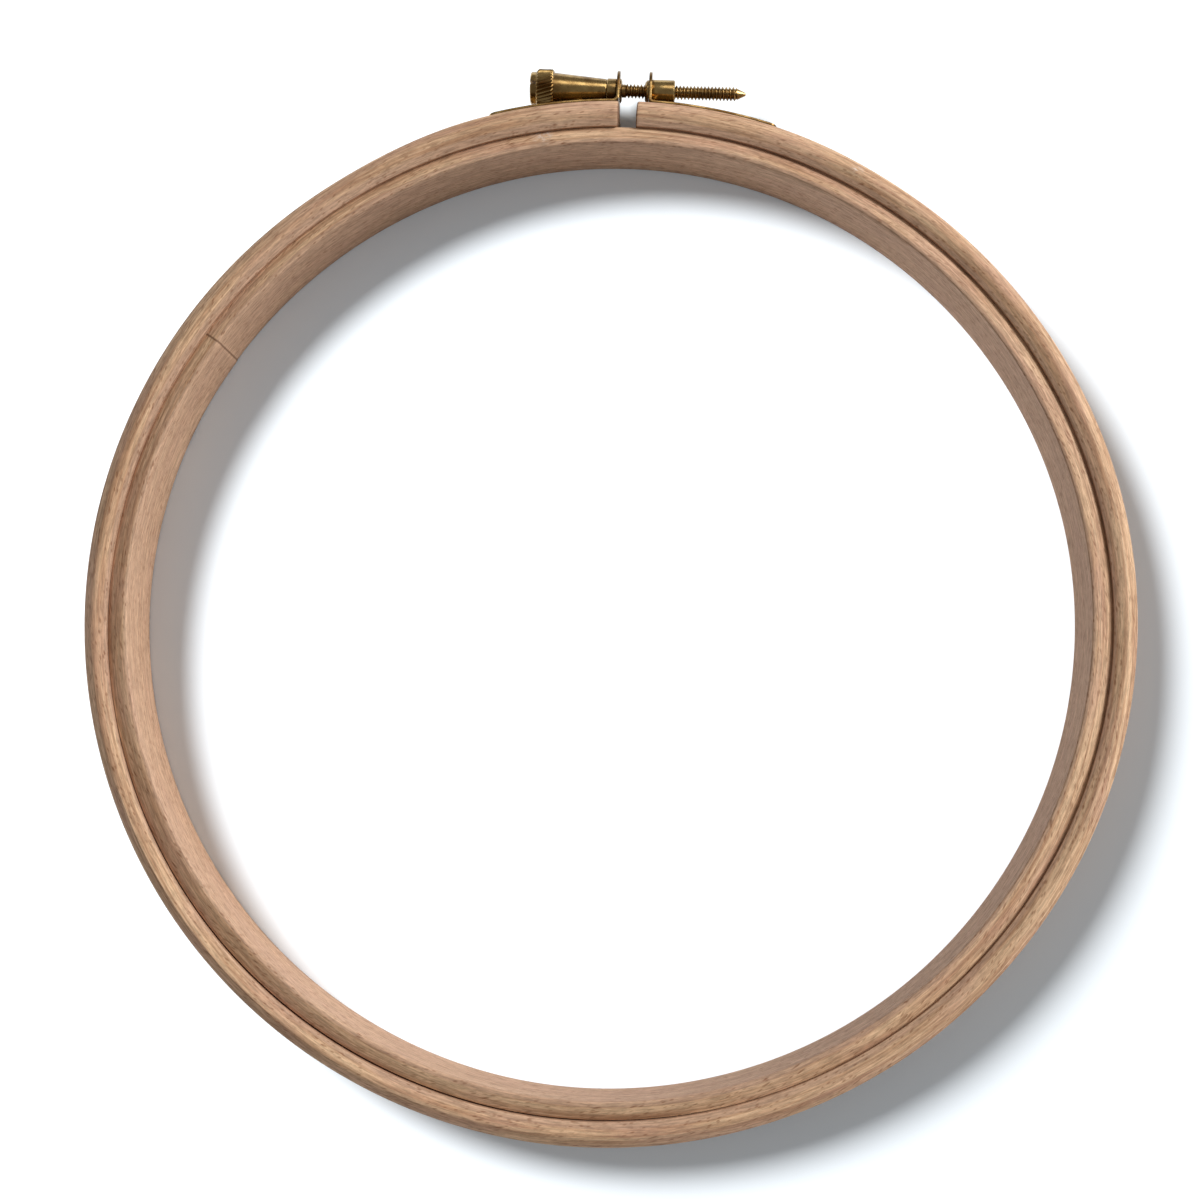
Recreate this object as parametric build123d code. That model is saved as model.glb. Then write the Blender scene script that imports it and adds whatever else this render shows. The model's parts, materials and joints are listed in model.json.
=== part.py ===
from build123d import *

import math
import os

# Screw-clamped embroidery hoop: two bent beech strips, one inside the other. The outer strip is
# open at a slot, and a brass thumb screw draws its two ends together through a pair of brackets.
#
# Millimetres. The origin is on the rings' common axis at half their depth. +Z points up out of
# the hoop as it lies on a table, +Y points at the slot, and the screw lies along X with its
# knurled head on the -X side.

# Wooden strips
working_radius = 95.0  # outside of the inner ring, which the fabric is laid over
inner_strip = 3.6  # thickness of the inner ring
outer_strip = 4.7  # thickness of the outer ring
ring_depth = 16.0  # width of both strips, which is the hoop's height on the table
fabric_gap = 0.3  # between the rings, all round
rounding_flats = 2  # narrow flats that each rounded edge is planed in, before it is sanded
inner_ring_rounding = 1.0  # the inner ring's inside edges
inner_ring_crown = 0.3  # flat beside them; the rest slopes away to the outside in one wide rounding
outer_ring_rounding = 2.2  # the outer ring's outside edges
outer_ring_inside_rounding = 1.6  # the outer ring's edges next to the fabric
slot_width = 3.5  # between the outer ring's ends when the hoop is closed
strip_end_chamfer = 0.4  # round the sawn ends at the slot

# Brass brackets, both from one blank
sheet = 0.6  # thickness of the brass
plate_length = 25.0  # along the strip, from the lug's far face
plate_width = 11.0
plate_corner = 1.4
lug_width = 7.6  # its free end is a half circle of this width
lug_bend = 0.6  # inside radius of the bend
plate_gap = 0.03  # film of varnish between a plate and the wood
left_lug_setback = 0.15  # from the slot's edge to the lug's near face
right_lug_setback = 2.1
pin_distances = (7.5, 20.0)  # along the strip, from the lug's far face

# Bracket pins
pin_radius = 0.6
pin_length = 3.6  # under the head
pin_head_radius = 1.1
pin_head_height = 0.4
pin_crown_radius = 0.8  # of the flat on top of the head
pin_clearance = 0.02  # round a driven pin, in the brass and in the wood

# Clamp screw
screw_height = 4.3  # of its axis above the outer ring's outside
shank_radius = 1.4
shank_length = 25.1  # of full thickness, from the head's shoulder
screw_point = 2.5
screw_point_radius = 0.4
taper_length = 10.4
taper_small_radius = 2.2
taper_large_radius = 3.15
knurl_length = 3.5
knurl_radius = 3.75
knurl_depth = 0.3
knurl_teeth = 30
knurl_helix = 18.0  # degrees from the screw's axis
knurl_chamfer = 0.4
disc_length = 1.2
disc_radius = 3.2
disc_chamfer = 0.35
driver_slot_width = 0.7
driver_slot_depth = 1.3

# Ferrule, collar and nut
rivet_neck_radius = 1.9  # of the ferrule and the nut, where they pass through a lug
rivet_clearance = 0.02
running_clearance = 0.1  # round the shank in the ferrule and the collar
thread_clearance = 0.05  # round the shank in the nut
end_play = 0.05  # at each face of the collar
ferrule_lip_length = 0.4
ferrule_lip_radius = 2.3
collar_length = 2.0
collar_radius = 2.35
collar_chamfer = 0.25
barrel_length = 4.5
barrel_radius = 2.35
barrel_chamfer = 0.2
nut_lip_length = 0.8
nut_lip_radius = 2.2
nut_lip_end_radius = 1.75

overrun = 1.0  # how far a cutting shape runs past what it cuts

# Places worked out from the sizes above
outside_radius = working_radius + fabric_gap + outer_strip
screw_y = outside_radius + screw_height
plate_inside = outside_radius + plate_gap
plate_outside = plate_inside + sheet
slot_edge = slot_width / 2
left_lug_face = slot_edge + left_lug_setback
right_lug_face = slot_edge + right_lug_setback
left_lug_back = left_lug_face + sheet
right_lug_back = right_lug_face + sheet
collar_right = -left_lug_back - end_play
head_shoulder = collar_right - collar_length - end_play
taper_left = head_shoulder - taper_length
knurl_left = taper_left - knurl_length
head_left = knurl_left - disc_length


def rounded_corner(centre, radius, start):
    """Points on a quarter circle round centre, anticlockwise from the angle start in degrees."""
    turns = [start + 90 * flat / rounding_flats for flat in range(rounding_flats + 1)]
    return [Vector(*centre) + Vector(radius, 0).rotate(Axis.Z, turn) for turn in turns]


def bent_strip(inside_radius, thickness, inside_rounding, outside_rounding):
    """A closed hoop of rounded rectangular strip, centred on the origin."""
    near = inside_radius + inside_rounding
    far = inside_radius + thickness - outside_rounding
    near_edge = ring_depth / 2 - inside_rounding
    far_edge = ring_depth / 2 - outside_rounding
    corners = [
        *rounded_corner((far, -far_edge), outside_rounding, -90),
        *rounded_corner((far, far_edge), outside_rounding, 0),
        *rounded_corner((near, near_edge), inside_rounding, 90),
        *rounded_corner((near, -near_edge), inside_rounding, 180),
    ]
    section = make_face(Polyline(*corners, close=True))
    return revolve(Plane.YZ * section, Axis.Z)


def along_screw(profile):
    """A turned shape: a profile in X and radius, spun round the screw's axis."""
    return Pos(0, screw_y, 0) * revolve(profile, Axis.X)


def turned(points):
    """A turned shape whose half profile runs through points given as (x, radius)."""
    return along_screw(make_face(Polyline(*points, close=True)))


def tube(left, right, radius, bore):
    """A plain bush on the screw's axis."""
    return turned([(left, bore), (right, bore), (right, radius), (left, radius)])


def pin_angles(lug_back):
    """Where a bracket's pins stand, in degrees from +Y towards +X."""
    return [math.degrees((lug_back + along) / plate_inside) for along in pin_distances]


def at_angle(degrees):
    """Turns a shape built at +Y, pointing outwards, towards +X by this many degrees."""
    return Rot(0, 0, -degrees)


def pin_body(clearance):
    """Half profile of a pin's shaft, at +Y and pointing inwards, from its end up to the head."""
    end = plate_outside - pin_length - clearance
    shaft = pin_radius + clearance
    return [(0, end), (shaft, end), (shaft, plate_outside)]


def pin():
    """One bracket pin at +Y, with its low bevelled head on the plate."""
    body = pin_body(0)
    seat = body[-1][1]
    crown = seat + pin_head_height
    head = [(pin_head_radius, seat), (pin_crown_radius, crown), (0, crown)]
    return revolve(make_face(Polyline(*body, *head, close=True)), Axis.Y)


def pin_hole():
    """The hole that one pin is driven into, through the plate and into the wood."""
    body = pin_body(pin_clearance)
    shaft, seat = body[-1]
    mouth = seat + overrun
    return revolve(make_face(Polyline(*body, (shaft, mouth), (0, mouth), close=True)), Axis.Y)


def pin_group(lug_back, side):
    """The pins of one bracket; side is 1 on the +X side of the slot and -1 on the other."""
    return [at_angle(side * angle) * pin() for angle in pin_angles(lug_back)]


def pin_holes(lug_back, side):
    """The holes for one bracket's pins."""
    return [at_angle(side * angle) * pin_hole() for angle in pin_angles(lug_back)]


def outer_ring():
    """The open strip, with the slot sawn through it and the pins' holes."""
    inside = working_radius + fabric_gap
    ring = bent_strip(inside, outer_strip, outer_ring_inside_rounding, outer_ring_rounding)
    saw = Box(slot_width, outer_strip + 2 * overrun, ring_depth + 2 * overrun)
    ring -= Pos(0, inside + outer_strip / 2, 0) * saw
    sawn = ring.faces().filter_by(Axis.X).edges()
    ring = chamfer(sawn, strip_end_chamfer)
    return ring - pin_holes(left_lug_back, -1) - pin_holes(right_lug_back, 1)


def inner_ring():
    inside = working_radius - inner_strip
    outside_rounding = inner_strip - inner_ring_rounding - inner_ring_crown
    return bent_strip(inside, inner_strip, inner_ring_rounding, outside_rounding)


def bracket_profile(lug_face):
    """The bent sheet seen along Z: a curved plate to the right of an upright lug."""
    lug_back = lug_face + sheet
    reach = math.degrees((lug_back + plate_length) / plate_inside)
    arcs = [CenterArc((0, 0), radius, 90 - reach, reach) for radius in (plate_inside, plate_outside)]
    ends = [Line(arcs[0] @ place, arcs[1] @ place) for place in (0, 1)]
    plate = make_face(arcs + ends)
    foot = math.sqrt(plate_inside**2 - lug_face**2)
    top = screw_y + lug_width / 2
    plate -= Pos(lug_face / 2, outside_radius) * Rectangle(lug_face, 2 * outer_strip)
    lug = Pos((lug_face + lug_back) / 2, (foot + top) / 2) * Rectangle(sheet, top - foot)
    profile = plate + lug
    crook = math.sqrt(plate_outside**2 - lug_back**2)
    outer_corner = profile.vertices().sort_by_distance((lug_face, foot))[0]
    profile = fillet(outer_corner, lug_bend + sheet)
    inner_corner = profile.vertices().sort_by_distance((lug_back, crook))[0]
    return fillet(inner_corner, lug_bend)


def plate_end(lug_back):
    """The middle of the plate's free end."""
    turn = (lug_back + plate_length) / plate_inside
    middle = (plate_inside + plate_outside) / 2
    return (middle * math.sin(turn), middle * math.cos(turn), 0)


def lug_waste(lug_face):
    """What is sheared off the blank above the bend to leave the round-ended lug."""
    bend_top = plate_outside + lug_bend
    top = screw_y + lug_width / 2 + overrun
    blank = Pos((bend_top + top) / 2, 0) * Rectangle(top - bend_top, plate_width + 2 * overrun)
    neck = Pos((bend_top + screw_y) / 2, 0) * Rectangle(screw_y - bend_top, lug_width)
    waste = blank - neck - Pos(screw_y, 0) * Circle(lug_width / 2)
    return extrude(Plane.YZ.offset(lug_face - overrun) * waste, sheet + 2 * overrun)


def bracket(lug_face, side):
    """One bracket; side is 1 on the +X side of the slot and -1 for its mirror image."""
    lug_back = lug_face + sheet
    blank = extrude(bracket_profile(lug_face), plate_width / 2, both=True)
    cross_edges = blank.edges().filter_by(GeomType.LINE).filter_by(Axis.Z, reverse=True)
    free_corners = cross_edges.sort_by_distance(plate_end(lug_back))[:2]
    blank = fillet(free_corners, plate_corner)
    blank -= lug_waste(lug_face)
    blank -= tube(lug_face - overrun, lug_back + overrun, rivet_neck_radius + rivet_clearance, 0)
    blank -= pin_holes(lug_back, 1)
    return blank if side > 0 else mirror(blank, Plane.YZ)


def lug_ferrule():
    """Riveted in the left lug: flush outside, with a rolled lip towards the slot."""
    bore = shank_radius + running_clearance
    lip = -left_lug_face + ferrule_lip_length
    return turned(
        [
            (-left_lug_back, bore),
            (lip, bore),
            (lip, (bore + ferrule_lip_radius) / 2),
            (-left_lug_face + ferrule_lip_length / 2, ferrule_lip_radius),
            (-left_lug_face, ferrule_lip_radius),
            (-left_lug_face, rivet_neck_radius),
            (-left_lug_back, rivet_neck_radius),
        ]
    )


def thrust_collar():
    """Loose on the shank, between the head's shoulder and the left lug."""
    left = collar_right - collar_length
    collar = tube(left, collar_right, collar_radius, shank_radius + running_clearance)
    rims = collar.edges().filter_by(GeomType.CIRCLE).group_by(SortBy.RADIUS)[-1]
    return chamfer(rims, collar_chamfer)


def barrel_nut():
    """Riveted in the right lug: a barrel outside, and a tapered lip towards the slot."""
    bore = shank_radius + thread_clearance
    end = right_lug_back + barrel_length
    return turned(
        [
            (right_lug_face - nut_lip_length, bore),
            (end, bore),
            (end, barrel_radius - barrel_chamfer),
            (end - barrel_chamfer, barrel_radius),
            (right_lug_back, barrel_radius),
            (right_lug_back, rivet_neck_radius),
            (right_lug_face, rivet_neck_radius),
            (right_lug_face, nut_lip_radius),
            (right_lug_face - nut_lip_length / 2, nut_lip_radius),
            (right_lug_face - nut_lip_length, nut_lip_end_radius),
        ]
    )


def knurled_band():
    """Diagonal V teeth round the head, with both ends chamfered."""
    valley_radius = knurl_radius - knurl_depth
    step = 2 * math.pi / knurl_teeth
    corners = []
    for tooth in range(knurl_teeth):
        for radius, turn in ((knurl_radius, tooth * step), (valley_radius, (tooth + 0.5) * step)):
            corners.append((radius * math.cos(turn), radius * math.sin(turn)))
    teeth = make_face(Polyline(*corners, close=True)).face()
    twist = -math.degrees(knurl_length * math.tan(math.radians(knurl_helix)) / knurl_radius)
    band = Solid.extrude_linear_with_rotation(teeth, (0, 0, 0), (0, 0, knurl_length), twist)
    seat = Plane(origin=(knurl_left, screw_y, 0), x_dir=(0, 1, 0), z_dir=(1, 0, 0))
    band = seat * band
    envelope = turned(
        [
            (knurl_left, 0),
            (taper_left, 0),
            (taper_left, knurl_radius - knurl_chamfer),
            (taper_left - knurl_chamfer, knurl_radius),
            (knurl_left + knurl_chamfer, knurl_radius),
            (knurl_left, knurl_radius - knurl_chamfer),
        ]
    )
    return band & envelope


def clamp_screw():
    """One turned piece: slotted disc, knurled band, taper, shank and point."""
    shank_right = head_shoulder + shank_length
    tip = shank_right + screw_point
    body = turned(
        [
            (head_left, 0),
            (head_left, disc_radius - disc_chamfer),
            (head_left + disc_chamfer, disc_radius),
            (taper_left, disc_radius),
            (taper_left, taper_large_radius),
            (head_shoulder, taper_small_radius),
            (head_shoulder, shank_radius),
            (shank_right, shank_radius),
            (tip, screw_point_radius),
            (tip, 0),
        ]
    )
    screw = body + knurled_band()
    cut = Box(2 * driver_slot_depth, driver_slot_width, 2 * (disc_radius + overrun))
    return screw - Pos(head_left, screw_y, 0) * cut


def save(name, solids):
    """Writes one node and prints what it holds."""
    shape = Compound(children=[solid for part in solids for solid in part.solids()])
    export_step(shape, f"parts/{name}.step")
    print(name, len(shape.solids()), "solid(s)", round(shape.volume, 2), "mm3")


os.makedirs("parts", exist_ok=True)
save("outer_ring", [outer_ring()])
save("inner_ring", [inner_ring()])
save("left_bracket", [bracket(left_lug_face, -1)])
save("right_bracket", [bracket(right_lug_face, 1)])
save("left_bracket_pins", pin_group(left_lug_back, -1))
save("right_bracket_pins", pin_group(right_lug_back, 1))
save("lug_ferrule", [lug_ferrule()])
save("thrust_collar", [thrust_collar()])
save("barrel_nut", [barrel_nut()])
save("clamp_screw", [clamp_screw()])
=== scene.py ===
"""A round embroidery hoop of bent beech with a brass clamp screw.

Laid out as an add-on with one operator for each piece or pair of pieces; run as a script, it makes them all.
Metres, in the frame's own axes: +Z is the rings' axis, +Y points at the slot in the outer ring, and +X runs
along the clamp screw from its knurled head to its point."""

import json
import math

import bmesh
import bpy
from mathutils import Matrix, Vector, noise


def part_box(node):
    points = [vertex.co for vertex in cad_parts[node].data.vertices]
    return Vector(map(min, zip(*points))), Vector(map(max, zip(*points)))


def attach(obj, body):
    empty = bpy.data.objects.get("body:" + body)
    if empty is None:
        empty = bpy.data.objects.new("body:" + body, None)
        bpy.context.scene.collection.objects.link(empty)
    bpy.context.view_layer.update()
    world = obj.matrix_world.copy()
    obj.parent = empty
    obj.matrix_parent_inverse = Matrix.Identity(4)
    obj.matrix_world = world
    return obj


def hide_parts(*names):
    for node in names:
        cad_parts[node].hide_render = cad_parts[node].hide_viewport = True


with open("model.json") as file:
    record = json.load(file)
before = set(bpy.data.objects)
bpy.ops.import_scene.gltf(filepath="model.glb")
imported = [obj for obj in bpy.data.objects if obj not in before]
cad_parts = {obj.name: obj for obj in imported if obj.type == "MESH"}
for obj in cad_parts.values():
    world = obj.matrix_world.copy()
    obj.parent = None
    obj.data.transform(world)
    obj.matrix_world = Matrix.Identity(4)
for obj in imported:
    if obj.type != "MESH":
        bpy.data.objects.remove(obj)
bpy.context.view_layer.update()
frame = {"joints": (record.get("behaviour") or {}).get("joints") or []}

bl_info = {
    "name": "Embroidery hoop",
    "version": (1, 0, 0),
    "blender": (4, 5, 0),
    "location": "View3D > Sidebar > Hoop",
    "description": "Makes an embroidery hoop of bent beech with a brass clamp screw",
    "category": "Add Mesh",
}

TURN = math.tau
WELD = 2e-6  # vertices closer than this are one


def mm(millimetres):
    """Millimetres as metres."""
    return millimetres / 1000


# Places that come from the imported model
ring_low, ring_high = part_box("outer_ring")
inner_low, inner_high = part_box("inner_ring")
screw_low, screw_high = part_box("clamp_screw")
nut_low, nut_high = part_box("barrel_nut")
collar_low, collar_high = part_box("thrust_collar")
ferrule_low, ferrule_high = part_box("lug_ferrule")
left_lug_face = -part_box("left_bracket")[1].x
right_lug_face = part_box("right_bracket")[0].x
screw_height = next(joint for joint in frame["joints"] if joint["name"] == "screw_turn")["pos_m"][1]
screw_axis = Matrix.Translation((0, screw_height, 0))
SIDES = (("left", left_lug_face, -1), ("right", right_lug_face, 1))  # each lug's face, and its way along X


# Settings


def length(name, default, description):
    """A length setting, with its default in millimetres."""
    return bpy.props.FloatProperty(
        name=name, description=description, default=mm(default), min=0, precision=5,
        subtype="DISTANCE", unit="LENGTH",
    )


def count(name, default, description):
    return bpy.props.IntProperty(name=name, description=description, default=default, min=1)


def angle(name, default, description):
    """An angle setting, with its default in degrees."""
    return bpy.props.FloatProperty(
        name=name, description=description, default=math.radians(default), subtype="ANGLE", unit="ROTATION"
    )


def strength(name, default, description):
    return bpy.props.FloatProperty(name=name, description=description, default=default, min=0)


def spot(name, default, description):
    """A place, in metres."""
    return bpy.props.FloatVectorProperty(
        name=name, description=description, default=default, size=3, subtype="TRANSLATION", unit="LENGTH"
    )


def linear(hex_colour):
    """An sRGB hex colour as the linear red, green and blue that Blender works in."""
    channels = [int(hex_colour[place : place + 2], 16) / 255 for place in (1, 3, 5)]
    return [c / 12.92 if c <= 0.04045 else ((c + 0.055) / 1.055) ** 2.4 for c in channels]


def colour(name, default, description):
    """A colour setting, with its default in sRGB hex."""
    return bpy.props.FloatVectorProperty(
        name=name, description=description, default=linear(default), min=0, max=1, size=3, subtype="COLOR"
    )


class HoopRings(bpy.types.PropertyGroup):
    """Sizes of the two bent strips"""

    outer_strip: length("Outer strip", 4.7, "Thickness of the outer ring")
    outer_outside_slope: length("Outer, outside slope", 2.2, "Width of the outer ring's outside slope")
    outer_inside_slope: length("Outer, inside slope", 1.8, "Width of its slope next to the fabric")
    inner_strip: length("Inner strip", 3.6, "Thickness of the inner ring")
    inner_inside_slope: length("Inner, inside slope", 0.2, "Width of the inner ring's eased inside edges")
    inner_outside_slope: length("Inner, outside slope", 2.8, "Width of its slope next to the fabric")
    inner_drop: length("Inner drop", 0.2, "How far the inner ring's crest is below the outer ring's")
    cup: length("Cupping", 0.2, "How far the inner ring's wall leans inwards at its top")
    slot: length("Slot", 3.5, "Width of the slot sawn through the outer ring")
    sawn_easing: length("Sawn edges", 0.4, "Width of the sanded edge round each sawn end")
    steps: count("Steps", 720, "Faces round each ring")
    slope_steps: count("Slope steps", 7, "Faces across each slope")
    waviness: length("Waviness", 0.1, "How far hand sanding leaves the strips from a true circle")
    ovality: length("Ovality", 0.3, "Half the difference between the rings' longer and shorter radius")
    oval_turn: angle("Longer axis", 80, "Direction of the rings' longer axis, clockwise from the slot")
    lean: length("Lean", 0.4, "How far the faces next to the fabric bow inwards at the upper left")
    bulge: length("Bulge", 0.48, "How far they bow outwards at the lower left, and less at the right")
    inset: length("Inset", 0.2, "How much nearer the rings' axis the gap is than in the packed model")
    closed_gap: length("Closed gap", 0.03, "Gap between the rings where they press together")
    play: length("Play", 0.34, "How much wider the gap is at the lower left")
    joint: angle("Joint", 302.4, "Where the inner ring's glued joint is, clockwise from the slot")
    joint_step: length("Joint step", 0.12, "How far one end stands proud at the glued joint")


class HoopBrackets(bpy.types.PropertyGroup):
    """Sizes of the brass brackets and their pins"""

    sheet: length("Sheet", 0.6, "Thickness of the brass")
    plate: length("Plate", 25, "Length of the plate along the strip")
    plate_width: length("Plate width", 11, "Width of the plate")
    corner: length("Corner", 1.4, "Radius of the plate's free corners")
    lug_width: length("Lug width", 7.6, "Width of the upright lug, whose end is a half circle")
    bend: length("Bend", 0.6, "Inside radius of the bend")
    plate_gap: length("Plate gap", 0.03, "Gap between the plate and the wood")
    hole: length("Hole", 1.92, "Radius of the hole through the lug")
    burr: length("Sheared edge", 0.09, "Rounding of the sheared edges")
    pin_near: length("Near pin", 7.5, "From the lug's far face to the nearer pin")
    pin_far: length("Far pin", 20, "From the lug's far face to the further pin")
    pin_head: length("Pin head", 1.1, "Radius of a pin's head")
    pin_height: length("Pin height", 0.4, "Height of a pin's head")
    pin_radius: length("Pin", 0.6, "Radius of a pin's shaft")
    pin_length: length("Pin length", 3.6, "Length of a pin's shaft")


class HoopScrew(bpy.types.PropertyGroup):
    """Sizes of the turned brass pieces"""

    thread: length("Thread", 1.4, "Outside radius of the thread")
    pitch: length("Pitch", 0.7, "Distance from one crest of the thread to the next")
    thread_depth: length("Thread depth", 0.42, "Height of a crest above the root")
    thread_start: length("Plain neck", 0.8, "From the middle of the slot back to the thread's first crest")
    neck: length("Neck", 1.28, "Radius of the plain neck")
    point: length("Point", 2.3, "Length of the tapered point")
    point_tip: length("Point tip", 0.28, "Radius of the point's end")
    taper: length("Taper", 10.4, "Length of the tapered part of the head")
    taper_small: length("Taper, small end", 2.2, "Radius of the head's shoulder")
    taper_large: length("Taper, large end", 3.15, "Radius of the taper beside the knurling")
    knurl: length("Knurling", 3.5, "Length of the knurled band")
    knurl_radius: length("Knurl radius", 3.75, "Outside radius of the knurled band")
    knurl_depth: length("Knurl depth", 0.32, "Depth of its grooves")
    knurl_chamfer: length("Knurl chamfer", 0.4, "Width of the bevel at each end of the knurling")
    teeth: count("Teeth", 30, "Ridges round the knurled band")
    helix: angle("Helix", -18, "Lean of the ridges from the screw's axis")
    disc: length("Disc radius", 3.2, "Radius of the slotted end disc")
    disc_chamfer: length("Disc chamfer", 0.35, "Bevel round the end disc")
    driver_slot: length("Driver slot", 0.7, "Width of the screwdriver slot")
    bore: length("Bore", 1.47, "Radius of the hole through the collar, the ferrule and the nut")
    neck_rivet: length("Rivet neck", 1.9, "Radius of the ferrule and the nut inside the lugs")
    nut_lip: length("Nut lip", 2.2, "Outside radius of the nut's lip")
    nut_lip_end: length("Nut lip, end", 1.75, "Radius of the lip's tapered end")
    chamfer: length("Chamfer", 0.2, "Bevel on the rims of the collar and the nut")
    easing: length("Easing", 0.04, "Rounding of the bushes' and the nut's edges")
    end_play: length("End play", 0.05, "Gap between the screw's shoulder and the collar")
    steps: count("Steps", 64, "Faces round each turned piece")
    lathe_marks: length("Lathe marks", 0.008, "Height of the rings that the lathe tool leaves")


class HoopFinish(bpy.types.PropertyGroup):
    """Colours of the wood and the brass"""

    beech_light: colour("Beech, light", "#DAB48F", "Pale wood between the growth rings")
    beech_dark: colour("Beech, dark", "#AF8463", "Darker bands of late wood")
    beech_rose: colour("Beech, rose", "#BF937D", "Pinkish cast that steaming gives")
    beech_face: colour("Beech, inside face", "#B8947B", "The strip's flat inside face")
    fleck: colour("Flecks", "#7A4A2A", "Short dark dashes of the rays")
    end_grain: colour("End grain", "#5A3820", "Sawn ends and the glue line of the joint")
    chalk: colour("Chalk", "#EADFD6", "Chalky scuffs")
    brass: colour("Brass", "#BE9E66", "Rubbed brass")
    tarnish: colour("Tarnish", "#6C4E2A", "Tarnished brass")
    stain: colour("Stain", "#3A1E0E", "Dark stains in the tarnish")


class HoopStage(bpy.types.PropertyGroup):
    """Floor, light and camera"""

    floor: colour("Floor", "#EAF0F5", "Paper under the hoop")
    floor_bounce: colour("Floor, bounced", "#C6C6C6", "What the paper throws back on the hoop")
    floor_radius: length("Floor radius", 12000, "Radius of the paper")
    sky_front: strength("Front of the room", 0.3, "Brightness of the room on the -Y side")
    sky_back: strength("Back of the room", 0.31, "Brightness of the room on the +Y side")
    soft_box: strength("Soft box", 0.42, "Strength of the round light that shines in the brass")
    key: strength("Key light", 3.5, "Strength of the light on the hoop")
    shadow: strength("Shadow light", 124, "Watts of the light that lays the shadow on the floor")
    shadow_radius: length("Shadow light radius", 250, "Radius of that light")
    shadow_place: spot("Shadow light place", (-0.767, 0.575, 1.048), "Where that light hangs")
    shadow_fill: strength("Shadow fill", 0.3, "Strength of the light that evens the shadow out")
    camera: spot("Camera", (0.01308, -0.02938, 0.33764), "Place of the camera")
    camera_turn: bpy.props.FloatVectorProperty(
        name="Camera turn", description="How the camera is turned from looking straight down", size=3,
        default=[math.radians(degrees) for degrees in (5.51, 2.19, 2.6)], subtype="EULER", unit="ROTATION",
    )
    lens: bpy.props.FloatProperty(
        name="Lens", description="Focal length in millimetres", default=52.69, min=1, unit="CAMERA"
    )


# Meshes


def place(bm, matrix, verts=None):
    bmesh.ops.transform(bm, matrix=matrix, verts=verts or bm.verts)


def made(result, kind=bmesh.types.BMVert, key="geom"):
    """An operator's new vertices, or its new items of another kind."""
    return [item for item in result[key] if isinstance(item, kind)]


def bevel(bm, geom, offset, segments, affect="EDGES", profile=0.5):
    """Rounds edges or corners: a profile of 0.5 is circular, and a lower one is flatter."""
    return bmesh.ops.bevel(
        bm, geom=geom, offset=offset, offset_type="OFFSET", segments=segments, profile=profile, affect=affect,
        clamp_overlap=True, material=-1,
    )


def ease(bm, width, segments=2, sharper_than=30):
    """Softens every edge that turns by more than this many degrees."""
    bmesh.ops.remove_doubles(bm, verts=bm.verts, dist=WELD)
    limit = math.radians(sharper_than)
    sharp = [edge for edge in bm.edges if len(edge.link_faces) == 2 and edge.calc_face_angle() > limit]
    bevel(bm, sharp, width, segments)


def smooth_step(value):
    value = min(max(value, 0), 1)
    return value * value * (3 - 2 * value)


def everything(bm):
    return [*bm.verts, *bm.edges, *bm.faces]


def add_copy(bm, other):
    """Adds a finished bmesh to another, and frees it."""
    mesh = bpy.data.meshes.new("part")
    other.to_mesh(mesh)
    other.free()
    bm.from_mesh(mesh)
    bpy.data.meshes.remove(mesh)


def double_up(bm, step, times):
    """Copies all there is one step on, then all of that two steps on, and so on, and welds the copies."""
    for _ in range(times):
        copy = made(bmesh.ops.duplicate(bm, geom=everything(bm)))
        place(bm, step, copy)
        step = step @ step
    bmesh.ops.remove_doubles(bm, verts=bm.verts, dist=WELD)


def spin(bm, geom, axis, turn, steps, centre=(0, 0, 0), advance=(0, 0, 0), merge=False):
    return bmesh.ops.spin(
        bm, geom=geom, cent=centre, axis=axis, dvec=advance, angle=turn, steps=steps,
        space=Matrix.Identity(4), use_merge=merge, use_normal_flip=False, use_duplicate=False,
    )["geom_last"]


def turned(bm, points, steps):
    """Spins an outline of (x, radius) points round X. An outline that ends on the axis closes there."""
    verts = [bm.verts.new((along, radius, 0)) for along, radius in points]
    on_axis = points[0][1] == 0
    pairs = list(zip(verts, verts[1:])) + ([] if on_axis else [(verts[-1], verts[0])])
    edges = [bm.edges.new(pair) for pair in pairs]
    spin(bm, verts + edges, (1, 0, 0), TURN, steps, merge=True)
    bmesh.ops.remove_doubles(bm, verts=bm.verts, dist=WELD)


def finish_piece(name, bm, material, body, node, sharp=35):
    """Closes, smooths and dresses a mesh, and puts it on its body in place of a CAD node."""
    old = bpy.data.objects.get(name)
    if old:
        bpy.data.objects.remove(old)
    bmesh.ops.remove_doubles(bm, verts=bm.verts, dist=WELD)
    bmesh.ops.dissolve_degenerate(bm, edges=bm.edges, dist=WELD)
    bmesh.ops.recalc_face_normals(bm, faces=bm.faces)
    mesh = bpy.data.meshes.new(name)
    bm.to_mesh(mesh)
    bm.free()
    mesh.shade_smooth()
    mesh.set_sharp_from_angle(angle=math.radians(sharp))
    mesh.materials.append(material)
    piece = bpy.data.objects.new(name, mesh)
    bpy.context.scene.collection.objects.link(piece)
    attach(piece, body)
    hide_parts(node)
    return piece


# Materials


SMOOTH = {"interpolation_type": "SMOOTHSTEP"}  # a Map Range that eases in and out


def add_node(tree, kind, inputs=(), **settings):
    """Adds a shader node with its settings. inputs fills its sockets in order, or by name from a dictionary,
    each with a value, an output, or a node, which stands for its first output in use."""
    node = tree.nodes.new("ShaderNode" + kind)
    for name, value in settings.items():
        setattr(node, name, value)
    for socket, value in inputs.items() if isinstance(inputs, dict) else enumerate(inputs):
        if isinstance(value, bpy.types.Node):
            value = next(output for output in value.outputs if output.enabled)
        if isinstance(value, bpy.types.NodeSocket):
            tree.links.new(value, node.inputs[socket])
        else:
            node.inputs[socket].default_value = value
    return node


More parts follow.
